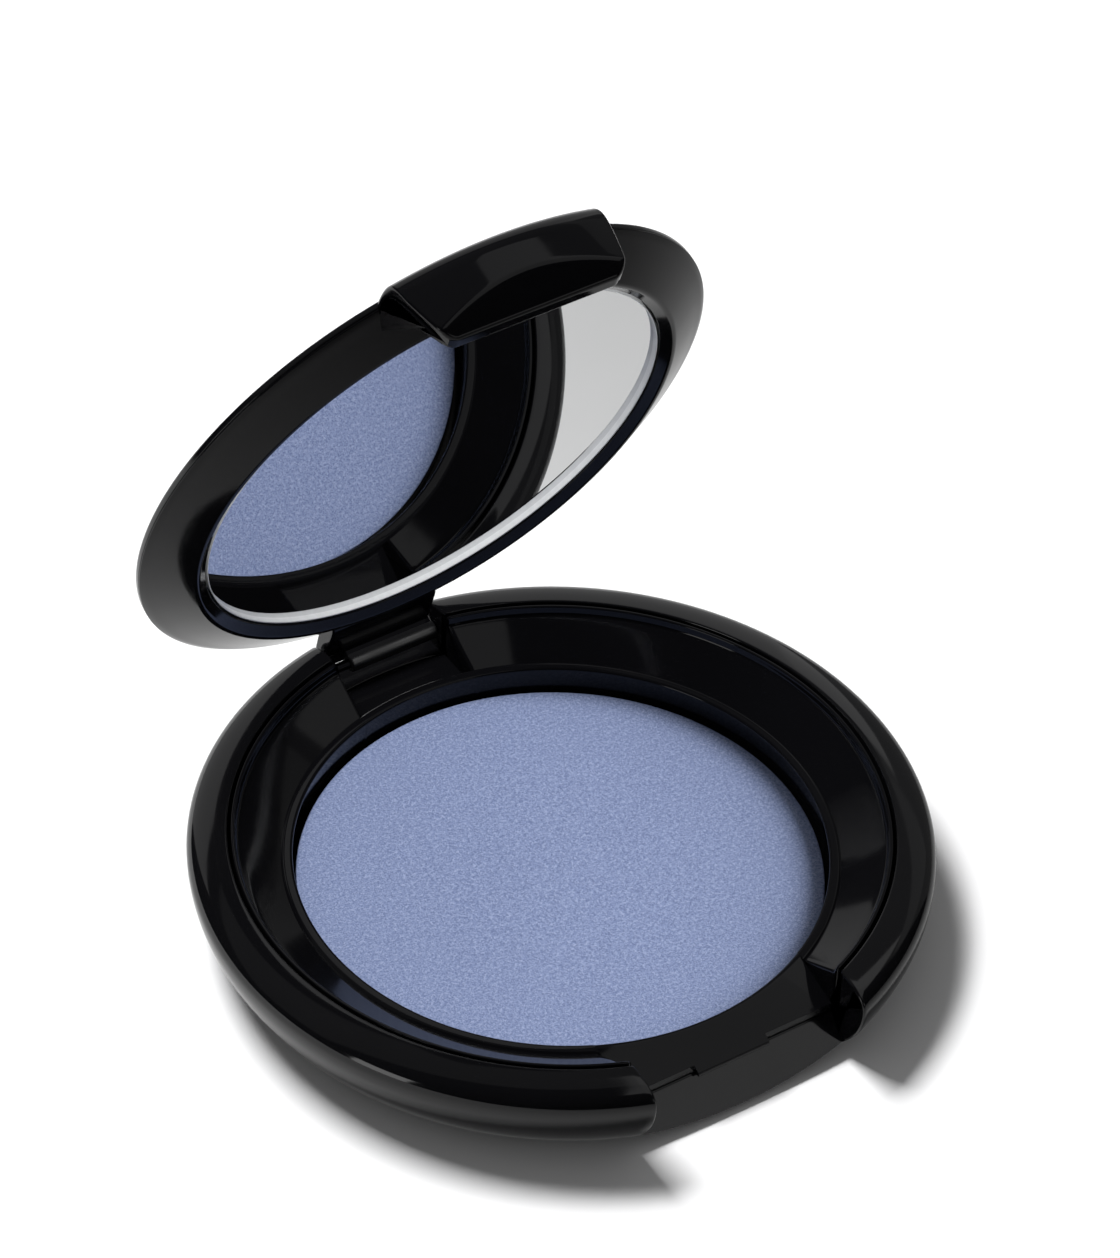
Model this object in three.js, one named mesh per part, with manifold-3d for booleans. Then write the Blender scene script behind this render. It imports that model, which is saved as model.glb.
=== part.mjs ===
// Round powder compact, 72 mm across: a dished base with a pressed powder cake in a metal pan, and
// a hinged lid with a mirror that drops inside the base's rim. Units are millimetres, +Z is up.
// The origin is the centre of the underside. The hinge is at the back (+Y), the thumb tab at the
// front (-Y). The lid is drawn closed and then swung open about the hinge pin.
import * as THREE from 'three';
import { mergeVertices } from 'three/addons/utils/BufferGeometryUtils.js';
import Module from 'manifold-3d';

// ---- driving dimensions ---------------------------------------------------------------------
const BASE_RADIUS = 36;
const RIM_INNER_RADIUS = 32.1;
const RIM_HEIGHT = 10.3;          // the rim's inner edge above the table
const EQUATOR_HEIGHT = 8.0;       // where the wall is widest
const FOOT_RADIUS = 30.5;
const FLOOR = 1.2;                // thickness of the base's floor
const FIT = 0.1;                  // gap left between pieces that touch
const FAR = 40;                   // beyond the part, for cutting tools
const ABOVE = 12;                 // over the part, for cutting tools

const LABEL_RADIUS = 20;
const LABEL_THICKNESS = 0.2;

const TRAY_RADIUS = 31.75;
const TRAY_TOP = 10.2;
const TRAY_LIP_RADIUS = 31.4;     // inner edge of the tray's thin upright lip
const RIDGE_HEIGHT = 6.95;        // ring round the powder
const RIDGE_OUTER_RADIUS = 26.8;
const RIDGE_ROUND = 0.2;
const WELL_RADIUS = 25.8;
const TRAY_FLOOR_TOP = 2.0;

const PAN_RADIUS = 25.5;
const PAN_SHEET = 0.3;
const PAN_BOTTOM = 2.2;
const PAN_TOP = 3.7;
const PAN_CORNER = 0.25;
const ADHESIVE_RADIUS = 16;
const ADHESIVE_GAP = 0.03;
const CAKE_TOP = 4.1;
const CAKE_CLEARANCE = 0.05;
const CAKE_EDGE = 0.12;
const CAKE_CROWN = 0.08;

const LIP_HEIGHT = 7.95;          // crest of the ring round the mirror, lowest when the lid is closed
const LIP_OUTER_RADIUS = 26.2;
const MIRROR_OPENING_RADIUS = 24.95;
const MIRROR_RADIUS = 24.7;
const MIRROR_THICKNESS = 1.6;
const MIRROR_INSET = 0.7;
const PAD_RADIUS = 22;
const PAD_THICKNESS = 0.14;
const PAD_GAP = 0.03;
const BACK_PLATE = 0.5;
const LID_RADIUS = 31.0;
const LID_EDGE_LOW = 10.35;
const FRAME_TOP = 10.62;
const LID_PARTING = 10.68;        // seam between frame and cover
const LID_EDGE_HIGH = 11.35;
const EDGE_ROUND = 0.15;
const DOME_TOP = 13.7;
const COVER_WALL = 0.85;
const COVER_INNER_RADIUS = 30;
const DOME_STEPS = 8;

const HINGE_Y = 32.8;
const HINGE_Z = 7.4;
const PIN_RADIUS = 0.5;
const PIN_CLEARANCE = 0.06;
const PIN_HALF_LENGTH = 9;
const BARREL_RADIUS = 0.95;
const BARREL_LEFT = -3.8;
const BARREL_RIGHT = 6.1;
const ARM_HALF_WIDTH = 6.0;
const POCKET_HALF_WIDTH = 6.4;
const POCKET_FLOOR = 5.0;
const POCKET_START_Y = 25;
const CHEEK = 1.4;                // solid ends beside the notch and the hinge pocket

const NOTCH_HALF_WIDTH = 11.6;
const TAB_BOTTOM = 2.2;
const TAB_INNER_RADIUS = 28;
const TAB_TOP = 11.1;
const CHORD_Y = -29;              // straight front edge of the tray in the notch
const CHORD_Z = 5.2;
const SILL_Z = 4.15;              // top of the base's front wall, just under the tray's edge
const SILL_GAP = 0.25;
const FRONT_SLOPE = 0.79;         // how far the front wall runs out for each mm it drops
const FRONT_WALL = 1.3;
const FRONT_GAP = 0.3;
const RAMP_COLUMNS = 12;
const CATCH_HALF_WIDTH = 4;
const CATCH_REACH = 0.8;
const CATCH_DROP = 0.45;
const HOOK_HALF_WIDTH = 3;

const LID_OPEN_DEG = 72;
const ROUND = 64;                 // facets round the shells
const ROUND_SMALL = 32;
const ROUND_BAR = 16;
const CURVE = 5;                  // steps along each rounded profile
const WELD = 1e-5;

// ---- outlines: (radius, height) for turned shapes, (y, z) for prisms ------------------------
const UNDERSIDE = [[FOOT_RADIUS, 0], [33.3, 1.1], [BASE_RADIUS, 4.6], [BASE_RADIUS, EQUATOR_HEIGHT]];
const SHOULDER = [[BASE_RADIUS, EQUATOR_HEIGHT], [BASE_RADIUS, 9.5], [34.6, 10.1],
  [RIM_INNER_RADIUS, RIM_HEIGHT]];
const TRAY_STEP = [[31.25, 9.35], [30.7, 9.05]];
const TRAY_CORE = [[26.9, 0.5], [30.6, 0.5], [30.6, 7.7], [26.9, 5.6]];
const LIP = [[MIRROR_OPENING_RADIUS, 8.6], [25.9, 8.03], [LIP_OUTER_RADIUS, LIP_HEIGHT],
  [26.55, 8.05]];
const FRAME_UNDERSIDE = [[29.7, 9.75], [30.5, 10.12], [LID_RADIUS, LID_EDGE_LOW + EDGE_ROUND]];
const FRAME_STEP = [[30.2, FRAME_TOP], [27.3, 9.7], [26.1, 9.7]];
const TAB_SHOULDER = [[BASE_RADIUS, EQUATOR_HEIGHT], [BASE_RADIUS, 9.9], [34.8, 10.95],
  [LID_RADIUS + FIT, TAB_TOP]];
// Half the tab's width against height: it narrows towards its free edge, and its corners are round.
const TAB_EDGE = [[8.8, TAB_BOTTOM], [9.6, 2.75], [10.1, 3.6], [10.5, 5.3], [10.95, 7.5], [11.1, 9],
  [11.1, ABOVE]];
const THUMB_FLAT = [[-36.9, 6.77], [-33.98, TAB_BOTTOM], [-33.8, 1.9], [-FAR, 1.9], [-FAR, 6.77]];
const TAB_HOLLOW = [[0, 1.2], [0, 10.2], [-29.2, 10.2], [-31.2, 9.9], [-32.4, 9.0], [-32.9, 7.5],
  [-32.9, 4.5], [-32.5, TAB_BOTTOM], [-32.5, 1.2]];
const CATCH_HOOK = [[-33.1, 4.3], [-33.1, 2.9], [-32.3, 2.9], [-30.3, 3.6], [-30.05, 4.0]];
const ARM_SECTION = [[26.5, 8.75], [27.5, 8.42], [31.9, 8.4], [32.1, 7.5], [33.5, 7.5], [33.95, 8.5],
  [33.9, 9.7], [32.9, 10.45], [30.9, FRAME_TOP], [26.5, 9.6]];
const ARM_NECK = [[31.9, 6], [36, 6], [36, 8.4], [31.9, 8.4]];

// ---- tools ----------------------------------------------------------------------------------
const wasm = await Module();
wasm.setup();

const point = ([r, z]) => new THREE.Vector2(r, z);

// A closed geometry as a solid that can be joined and cut.
function solid(geometry) {
  const bare = geometry.index ? geometry.toNonIndexed() : geometry.clone();
  const extras = Object.keys(bare.attributes).filter((name) => name !== 'position');
  extras.forEach((name) => bare.deleteAttribute(name));
  const merged = mergeVertices(bare, WELD);
  const kept = [];
  const index = merged.index.array;
  for (let i = 0; i < index.length; i += 3) {
    const [a, b, c] = [index[i], index[i + 1], index[i + 2]];
    if (a !== b && b !== c && a !== c) {
      kept.push(a, b, c);
    }
  }
  const vertProperties = new Float32Array(merged.attributes.position.array);
  return new wasm.Manifold(new wasm.Mesh({ numProp: 3, vertProperties, triVerts: new Uint32Array(kept) }));
}

function geometryOf(body) {
  const mesh = body.getMesh();
  const positions = new Float32Array(mesh.numVert * 3);
  for (let i = 0; i < mesh.numVert; i += 1) {
    for (let k = 0; k < 3; k += 1) {
      positions[i * 3 + k] = mesh.vertProperties[i * mesh.numProp + k];
    }
  }
  const geometry = new THREE.BufferGeometry();
  geometry.setAttribute('position', new THREE.BufferAttribute(positions, 3));
  geometry.setIndex(new THREE.BufferAttribute(new Uint32Array(mesh.triVerts), 1));
  geometry.computeVertexNormals();
  return geometry;
}

// A solid of revolution about Z. The profile runs anticlockwise in (radius, height).
function turned(profile, segments = ROUND) {
  return solid(new THREE.LatheGeometry(profile.map(point), segments).rotateX(Math.PI / 2));
}

// A ring whose profile closes on itself.
function turnedRing(profile, segments = ROUND) {
  return turned([...profile, profile[0]], segments);
}

// A prism along X between two planes, from an outline in (y, z).
function prism(outline, xMin, xMax) {
  const shape = new THREE.Shape(outline.map(point));
  const geometry = new THREE.ExtrudeGeometry(shape, { depth: xMax - xMin, bevelEnabled: false });
  // (shape x, shape y, depth) becomes (y, z, x)
  geometry.applyMatrix4(new THREE.Matrix4().set(0, 0, 1, xMin, 1, 0, 0, 0, 0, 1, 0, 0, 0, 0, 0, 1));
  return solid(geometry);
}

function block(xMin, xMax, yMin, yMax, zMin, zMax) {
  return prism([[yMin, zMin], [yMax, zMin], [yMax, zMax], [yMin, zMax]], xMin, xMax);
}

// A round bar along X, on the hinge's axis.
function hingeBar(radius, xMin, xMax, segments = ROUND_BAR) {
  const geometry = new THREE.CylinderGeometry(radius, radius, xMax - xMin, segments);
  geometry.rotateZ(Math.PI / 2).translate((xMin + xMax) / 2, HINGE_Y, HINGE_Z);
  return solid(geometry);
}

function disc(radius, zMin, zMax, segments = ROUND) {
  return turned([[0, zMin], [radius, zMin], [radius, zMax], [0, zMax]], segments);
}

const fromVectors = (vectors) => vectors.map((v) => [v.x, v.y]);
const undersideCurve = fromVectors(
  new THREE.CubicBezierCurve(...UNDERSIDE.map(point)).getPoints(CURVE));
const shoulderCurve = fromVectors(
  new THREE.CubicBezierCurve(...SHOULDER.map(point)).getPoints(CURVE));
const tabShoulderCurve = fromVectors(
  new THREE.CubicBezierCurve(...TAB_SHOULDER.map(point)).getPoints(CURVE));

// Outward position of the base's front wall at height z, inside the notch.
const frontWallY = (z, inset = 0) => CHORD_Y - FIT + inset - (SILL_Z - z) * FRONT_SLOPE;

// ---- base -----------------------------------------------------------------------------------
function baseShell() {
  const labelRoof = LABEL_THICKNESS + FIT / 2;
  const outer = turned([
    [0, labelRoof], [LABEL_RADIUS + FIT, labelRoof], [LABEL_RADIUS + FIT, 0],
    ...undersideCurve, ...shoulderCurve.slice(1), [0, RIM_HEIGHT],
  ]);
  const frontWall = prism([
    [frontWallY(0, FRONT_WALL), 0], [frontWallY(SILL_Z, FRONT_WALL), SILL_Z],
    [-FAR, SILL_Z], [-FAR, 0],
  ], -NOTCH_HALF_WIDTH - CHEEK, NOTCH_HALF_WIDTH + CHEEK);
  const cavity = disc(RIM_INNER_RADIUS, FLOOR, ABOVE).subtract(frontWall);
  const notch = prism([
    [-TAB_INNER_RADIUS, ABOVE], [-TAB_INNER_RADIUS, SILL_Z], [frontWallY(SILL_Z), SILL_Z],
    [frontWallY(-1), -1], [-FAR, -1], [-FAR, ABOVE],
  ], -NOTCH_HALF_WIDTH, NOTCH_HALF_WIDTH);
  const hingeGap = block(
    -POCKET_HALF_WIDTH, POCKET_HALF_WIDTH, POCKET_START_Y, FAR, POCKET_FLOOR, ABOVE);
  // Blind on the left; on the right it runs out through the wall, which is where the pin goes in.
  const pinBore = hingeBar(PIN_RADIUS + PIN_CLEARANCE, -PIN_HALF_LENGTH - FIT, FAR / 2);
  return outer.subtract(cavity).subtract(notch).subtract(hingeGap).subtract(pinBore);
}

// Everything above a surface ruled between the ridge's circle and the notch's straight front edge.
function rampCutter() {
  const startRadius = WELL_RADIUS + RIDGE_ROUND;
  const frontY = CHORD_Y - FIT;
  const vertices = [];
  const faces = [];
  for (let i = 0; i <= RAMP_COLUMNS; i += 1) {
    const x = -NOTCH_HALF_WIDTH + (2 * NOTCH_HALF_WIDTH * i) / RAMP_COLUMNS;
    const ridgeY = -Math.sqrt(startRadius ** 2 - x ** 2);
    vertices.push([x, ridgeY, RIDGE_HEIGHT], [x, frontY, CHORD_Z], [x, frontY, ABOVE], [x, ridgeY, ABOVE]);
  }
  for (let i = 0; i < RAMP_COLUMNS; i += 1) {
    for (let k = 0; k < 4; k += 1) {
      const [a, b] = [i * 4 + k, i * 4 + (k + 1) % 4];
      faces.push([a, a + 4, b], [b, a + 4, b + 4]);
    }
  }
  const last = RAMP_COLUMNS * 4;
  faces.push([0, 1, 2], [0, 2, 3], [last, last + 2, last + 1], [last, last + 3, last + 2]);
  const geometry = new THREE.BufferGeometry();
  geometry.setAttribute('position', new THREE.Float32BufferAttribute(vertices.flat(), 3));
  geometry.setIndex(faces.flat());
  return solid(geometry);
}

function innerTray() {
  const bottom = FLOOR + FIT;
  const envelope = turned([
    [0, bottom], [TRAY_RADIUS, bottom], [TRAY_RADIUS, TRAY_TOP], [TRAY_LIP_RADIUS, TRAY_TOP],
    ...TRAY_STEP,
    [RIDGE_OUTER_RADIUS + FIT, RIDGE_HEIGHT - EDGE_ROUND], [RIDGE_OUTER_RADIUS - FIT, RIDGE_HEIGHT],
    [WELL_RADIUS + RIDGE_ROUND, RIDGE_HEIGHT], [WELL_RADIUS, RIDGE_HEIGHT - RIDGE_ROUND],
    [WELL_RADIUS, TRAY_FLOOR_TOP], [0, TRAY_FLOOR_TOP],
  ]);
  // Cored out from below, except beside the notch and round the hinge pocket.
  const frontKeep = block(-NOTCH_HALF_WIDTH - CHEEK, NOTCH_HALF_WIDTH + CHEEK, -FAR, 0, 0, ABOVE);
  const backKeep = block(-POCKET_HALF_WIDTH - CHEEK, POCKET_HALF_WIDTH + CHEEK, 0, FAR, 0, ABOVE);
  const core = turnedRing(TRAY_CORE).subtract(frontKeep).subtract(backKeep);
  // Clears the base's front wall, then trims the tray to its straight front edge.
  const wallGap = FRONT_WALL + FRONT_GAP;
  const noseHalfWidth = NOTCH_HALF_WIDTH + CHEEK + FRONT_GAP;
  const noseTop = SILL_Z + SILL_GAP;
  const underNose = prism([
    [-FAR, noseTop], [-FAR, 0], [frontWallY(0, wallGap), 0], [frontWallY(SILL_Z, wallGap), noseTop],
  ], -noseHalfWidth, noseHalfWidth);
  const beyondChord = block(-NOTCH_HALF_WIDTH, NOTCH_HALF_WIDTH, -FAR, CHORD_Y, SILL_Z, ABOVE);
  const pocket = block(
    -POCKET_HALF_WIDTH, POCKET_HALF_WIDTH, POCKET_START_Y, FAR, POCKET_FLOOR + FIT, ABOVE)
    .subtract(disc(RIDGE_OUTER_RADIUS + RIDGE_ROUND, 0, ABOVE));
  const tongueRoot = CHORD_Y + FRONT_GAP;
  const tongueTip = CHORD_Y - CATCH_REACH;
  const catchTongue = prism([
    [tongueTip, noseTop], [tongueRoot, noseTop], [tongueRoot, CHORD_Z], [CHORD_Y, CHORD_Z],
    [tongueTip, CHORD_Z - CATCH_DROP],
  ], -CATCH_HALF_WIDTH, CATCH_HALF_WIDTH);
  return envelope.subtract(core).subtract(underNose).subtract(beyondChord).subtract(rampCutter())
    .subtract(pocket).add(catchTongue);
}

function bottomLabel() {
  return disc(LABEL_RADIUS, 0, LABEL_THICKNESS);
}

function panAdhesive() {
  return disc(ADHESIVE_RADIUS, TRAY_FLOOR_TOP + ADHESIVE_GAP, PAN_BOTTOM - ADHESIVE_GAP, ROUND_SMALL);
}

function powderPan() {
  const inner = PAN_RADIUS - PAN_SHEET;
  const sheetTop = PAN_BOTTOM + PAN_SHEET;
  return turned([
    [0, PAN_BOTTOM], [PAN_RADIUS - PAN_CORNER, PAN_BOTTOM], [PAN_RADIUS, PAN_BOTTOM + PAN_CORNER],
    [PAN_RADIUS, PAN_TOP], [inner, PAN_TOP], [inner, sheetTop], [0, sheetTop],
  ]);
}

// The cake fills the pan and its pressed edge covers the pan's thin wall.
function powderCake() {
  const inPan = PAN_RADIUS - PAN_SHEET - CAKE_CLEARANCE;
  const overPan = PAN_RADIUS + CAKE_CLEARANCE;
  const bottom = PAN_BOTTOM + PAN_SHEET + CAKE_CLEARANCE;
  const step = PAN_TOP + CAKE_CLEARANCE;
  return turned([
    [0, bottom], [inPan, bottom], [inPan, step], [overPan, step],
    [overPan, CAKE_TOP - CAKE_EDGE], [overPan - CAKE_EDGE, CAKE_TOP], [0, CAKE_TOP + CAKE_CROWN],
  ]);
}

function hingePin() {
  return hingeBar(PIN_RADIUS, -PIN_HALF_LENGTH, PIN_HALF_LENGTH);
}

// ---- lid, drawn closed ----------------------------------------------------------------------
// Thumb tab: carries the rim's section across the notch, a little proud of it, with a flat for the
// thumb.
function thumbTab() {
  const section = turnedRing([
    [TAB_INNER_RADIUS, TAB_BOTTOM], [BASE_RADIUS, TAB_BOTTOM], ...tabShoulderCurve,
    [LID_RADIUS + FIT, FRAME_TOP], [LID_RADIUS - FIT, FRAME_TOP],
    [TAB_INNER_RADIUS, LID_EDGE_LOW - FRONT_GAP],
  ]);
  const leftEdge = TAB_EDGE.map(([x, z]) => [-x, z]).reverse();
  const span = new THREE.ExtrudeGeometry(
    new THREE.Shape([...TAB_EDGE, ...leftEdge].map(point)),
    { depth: FAR, bevelEnabled: false }).rotateX(Math.PI / 2);
  const thumbFlat = prism(THUMB_FLAT, -FAR, FAR);
  const hollow = prism(TAB_HOLLOW, -FAR, FAR);
  const hook = prism(CATCH_HOOK, -HOOK_HALF_WIDTH, HOOK_HALF_WIDTH);
  return section.intersect(solid(span)).subtract(thumbFlat).subtract(hollow).add(hook);
}

// Hinge arm and the barrel that turns on the pin.
function hingeArm() {
  const plate = prism(ARM_SECTION, -ARM_HALF_WIDTH, ARM_HALF_WIDTH);
  const leftNeck = prism(ARM_NECK, -FAR, BARREL_LEFT);
  const barrel = hingeBar(BARREL_RADIUS, BARREL_LEFT, BARREL_RIGHT);
  return plate.subtract(leftNeck).add(barrel);
}

// Ring round the mirror, its back plate, the thumb tab and the hinge arm, all one moulding.
function lidFrame() {
  const plateLow = LIP_HEIGHT + MIRROR_INSET + MIRROR_THICKNESS + PAD_THICKNESS + 2 * PAD_GAP;
  const plateHigh = plateLow + BACK_PLATE;
  const ring = turned([
    [0, plateLow], [MIRROR_OPENING_RADIUS, plateLow], ...LIP, ...FRAME_UNDERSIDE,
    [LID_RADIUS, FRAME_TOP], ...FRAME_STEP,
    [LIP_OUTER_RADIUS - RIDGE_ROUND, plateHigh], [0, plateHigh],
  ]);
  const pinHole = hingeBar(PIN_RADIUS + PIN_CLEARANCE, -FAR, FAR);
  return ring.add(thumbTab()).add(hingeArm()).subtract(pinHole);
}

function lidCover() {
  const domeHeight = (r, top, edge) => edge + (top - edge) * (1 - (r / LID_RADIUS) ** 2);
  const outside = [];
  const inside = [];
  for (let i = 0; i <= DOME_STEPS; i += 1) {
    const out = (LID_RADIUS - EDGE_ROUND) * (1 - i / DOME_STEPS);
    const inn = COVER_INNER_RADIUS * (i / DOME_STEPS);
    outside.push([out, domeHeight(out, DOME_TOP, LID_EDGE_HIGH)]);
    inside.push([inn, domeHeight(inn, DOME_TOP - COVER_WALL, LID_EDGE_HIGH - COVER_WALL + FIT)]);
  }
  return turned([
    ...inside, [COVER_INNER_RADIUS, LID_PARTING], [LID_RADIUS, LID_PARTING],
    [LID_RADIUS, LID_EDGE_HIGH - EDGE_ROUND], ...outside,
  ]);
}

function mirrorGlass() {
  const front = LIP_HEIGHT + MIRROR_INSET;
  return disc(MIRROR_RADIUS, front, front + MIRROR_THICKNESS);
}

function mirrorPad() {
  const front = LIP_HEIGHT + MIRROR_INSET + MIRROR_THICKNESS + PAD_GAP;
  return disc(PAD_RADIUS, front, front + PAD_THICKNESS, ROUND_SMALL);
}

// ---- assembly -------------------------------------------------------------------------------
const gloss = (color) => new THREE.MeshStandardMaterial({ color, roughness: 0.12, metalness: 0 });
const metal = (color, roughness) => new THREE.MeshStandardMaterial({ color, roughness, metalness: 1 });
const matt = (color) => new THREE.MeshStandardMaterial({ color, roughness: 0.85, metalness: 0 });

function piece(name, body, material) {
  const mesh = new THREE.Mesh(geometryOf(body), material);
  mesh.name = name;
  return mesh;
}

const base = new THREE.Group();
base.add(
  piece('base_shell', baseShell(), gloss(0x0b0b0d)),
  piece('inner_tray', innerTray(), gloss(0x09090b)),
  piece('powder_pan', powderPan(), metal(0xc8c9cb, 0.35)),
  piece('powder_cake', powderCake(), matt(0x8795b9)),
  piece('pan_adhesive', panAdhesive(), matt(0xd9d4c4)),
  piece('bottom_label', bottomLabel(), matt(0xdedede)),
  piece('hinge_pin', hingePin(), metal(0x5a5a5e, 0.4)),
);

// The lid's pieces keep their closed coordinates inside a group that turns about the pin.
const lidPieces = new THREE.Group();
lidPieces.position.set(0, -HINGE_Y, -HINGE_Z);
lidPieces.add(
  piece('lid_cover', lidCover(), gloss(0x0b0b0d)),
  piece('lid_frame', lidFrame(), gloss(0x0a0a0c)),
  piece('mirror_glass', mirrorGlass(), metal(0xe6e8ea, 0.03)),
  piece('mirror_pad', mirrorPad(), matt(0xcfcfc8)),
);
const lid = new THREE.Group();
lid.position.set(0, HINGE_Y, HINGE_Z);
lid.rotation.x = THREE.MathUtils.degToRad(-LID_OPEN_DEG);
lid.add(lidPieces);

const group = new THREE.Group();
group.add(base, lid);

export default group;
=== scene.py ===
"""Round powder compact: smooth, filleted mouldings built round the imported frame. Metres, +Z up."""
import math

import bmesh
import bpy
import numpy as np
from mathutils import Matrix, Vector


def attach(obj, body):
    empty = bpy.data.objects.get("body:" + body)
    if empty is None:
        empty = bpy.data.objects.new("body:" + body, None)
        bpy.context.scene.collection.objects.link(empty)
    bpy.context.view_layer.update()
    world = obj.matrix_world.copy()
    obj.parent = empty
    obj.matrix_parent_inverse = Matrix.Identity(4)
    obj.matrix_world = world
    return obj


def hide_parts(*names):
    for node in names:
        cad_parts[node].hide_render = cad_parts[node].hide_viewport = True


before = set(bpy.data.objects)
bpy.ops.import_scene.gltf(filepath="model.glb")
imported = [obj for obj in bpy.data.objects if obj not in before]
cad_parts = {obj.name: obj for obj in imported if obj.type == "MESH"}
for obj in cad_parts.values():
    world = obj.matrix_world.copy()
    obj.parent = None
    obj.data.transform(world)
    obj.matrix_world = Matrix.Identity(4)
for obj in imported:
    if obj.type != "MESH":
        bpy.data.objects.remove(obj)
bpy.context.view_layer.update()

# ---- camera: first, since everything else is judged through it --------------------------------
MM = 0.001
CAMERA_DISTANCE = 606.2          # from the frame's origin
CAMERA_ELEVATION = math.radians(44.75)
CAMERA_AZIMUTH = math.radians(-34.79)
CAMERA_ROLL = math.radians(2.37)
CAMERA_TARGET = Vector((21.54, 32.93, 0)) * MM
CAMERA_LENS = 178.8              # mm, on a sensor 36 mm along the picture's long side


def add_camera():
    place = Vector((math.sin(CAMERA_AZIMUTH) * math.cos(CAMERA_ELEVATION),
                    -math.cos(CAMERA_AZIMUTH) * math.cos(CAMERA_ELEVATION),
                    math.sin(CAMERA_ELEVATION))) * CAMERA_DISTANCE * MM
    back = (place - CAMERA_TARGET).normalized()
    right = Vector((0, 0, 1)).cross(back).normalized()
    up = back.cross(right)
    cos, sin = math.cos(CAMERA_ROLL), math.sin(CAMERA_ROLL)
    right, up = right * cos + up * sin, up * cos - right * sin
    data = bpy.data.cameras.new("camera")
    data.lens, data.sensor_width, data.sensor_fit = CAMERA_LENS, 36, "AUTO"
    data.clip_start, data.clip_end = 0.01, 20
    camera = bpy.data.objects.new("camera", data)
    camera.matrix_world = Matrix.Translation(place) @ Matrix((right, up, back)).transposed().to_4x4()
    bpy.context.scene.collection.objects.link(camera)
    bpy.context.scene.camera = camera


add_camera()

# ---- dimensions, in millimetres, as in the CAD source -------------------------------------------
# Outlines are (radius, height) for turned shapes and (y, z) for prisms; a third number says how far
# a corner is cut back to round it.
BASE_RADIUS, RIM_INNER_RADIUS, RIM_HEIGHT, EQUATOR = 36, 32.1, 10.3, 8.0
FOOT_RADIUS, FLOOR, HUB_RADIUS = 30.5, 1.2, 28
LABEL_RECESS_RADIUS, LABEL_RECESS, LABEL_RECESS_BEVEL = 20.1, 0.25, (0.1, 0.08)
UNDERSIDE = [(FOOT_RADIUS, 0), (33.3, 1.1), (BASE_RADIUS, 4.6), (BASE_RADIUS, EQUATOR)]
SHOULDER = [(BASE_RADIUS, EQUATOR), (BASE_RADIUS, 9.5), (34.6, 10.1), (RIM_INNER_RADIUS, RIM_HEIGHT)]

TRAY_RADIUS, TRAY_TOP, TRAY_LIP_RADIUS = 31.75, 10.2, 31.4
TRAY_BOTTOM, TRAY_FLOOR, TRAY_HUB_RADIUS = 1.3, 2.0, 24
TRAY_STEP = [(31.25, 9.35, 0.25), (30.7, 9.05, 0.3)]
RIDGE_HEIGHT, RIDGE_OUTER_RADIUS, WELL_RADIUS, WELL_FOOT_RADIUS = 6.95, 26.8, 25.8, 26.15
RIDGE_FOOT = (RIDGE_OUTER_RADIUS + 0.15, 6.78)
PAN_RADIUS, PAN_SHEET, PAN_BOTTOM, PAN_TOP = 25.5, 0.3, 2.2, 3.7
CAKE_TOP, CAKE_CROWN, CAKE_CLEARANCE, CAKE_SHOULDER = 4.1, 0.08, 0.05, 0.5
CAKE_UNEVENNESS, CAKE_FADE = 0.008, 1.5      # waves on its top, and how far from the edge they fade out

NOTCH, POCKET, END_ROUND = 11.6, 6.4, 0.3
CHORD_Y, CHORD_Z, SILL_Z, SILL_GAP = -29, 5.2, 4.3, 0.06
FRONT_SLOPE, FRONT_SETBACK, FRONT_WALL, FRONT_GAP = 0.79, 0.1, 1.3, 0.3
CATCH_HALF_WIDTH, CATCH_REACH, CATCH_DROP, CATCH_SIDE = 4, 0.8, 0.45, 1e-4
POCKET_FLOOR = 5.0
SHELF_Z = POCKET_FLOOR + 0.1

OPENING_RADIUS, PLATE_LOW = 24.95, 10.45
LID_RADIUS, FRAME_TOP, COVER_LOW, COVER_EDGE = 31.0, 10.62, 10.68, 11.35
DOME_TOP, COVER_WALL, COVER_INNER_RADIUS = 13.7, 0.85, 30
LIP_AND_FACE = [(OPENING_RADIUS, 8.6, 0.08), (26.11, 7.84, 0.4), (29.7, 9.75, 1.0), (30.6, 10.2, 0.6),
                (LID_RADIUS, 10.5, 0.2)]
MIRROR_FRONT, MIRROR_RADIUS, MIRROR_THICKNESS, SILVER_DEPTH = 8.65, 24.7, 1.6, 0.62
HINGE_Y, HINGE_Z, PIN_RADIUS, PIN_HALF_LENGTH = 32.8, 7.4, 0.5, 9
BARREL_RADIUS, BARREL_LEFT, BARREL_RIGHT, ARM_HALF_WIDTH = 0.95, -3.8, 6.1, 6.0
ARM = [(26.5, 8.9, 0), (27.5, 8.42, 0.5), (31.9, 8.4, 0.3), (33.95, 8.4, 0.3), (33.9, 9.7, 0.5),
       (32.9, 10.45, 0.6), (30.9, FRAME_TOP - 0.02, 0.5), (26.5, FRAME_TOP - 0.05, 0)]
ARM_NECK = [(32.0, 9, 0), (32.05, 7.5, 0.2), (33.55, 7.5, 0.2), (33.8, 9, 0)]
TAB_LOW, TAB_TOP, TAB_ROOT_RADIUS, TAB_END_ROUND = 2.2, 11.1, 28.2, 0.35
TAB_SHOULDER = [(BASE_RADIUS, EQUATOR), (BASE_RADIUS, 9.9), (34.8, 10.95), (LID_RADIUS + 0.1, TAB_TOP)]
TAB_EDGE = [(8.8, TAB_LOW), (9.6, 2.75), (10.1, 3.6), (10.5, 5.3), (10.95, 7.5), (11.1, 9), (11.1, TAB_TOP)]
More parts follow.
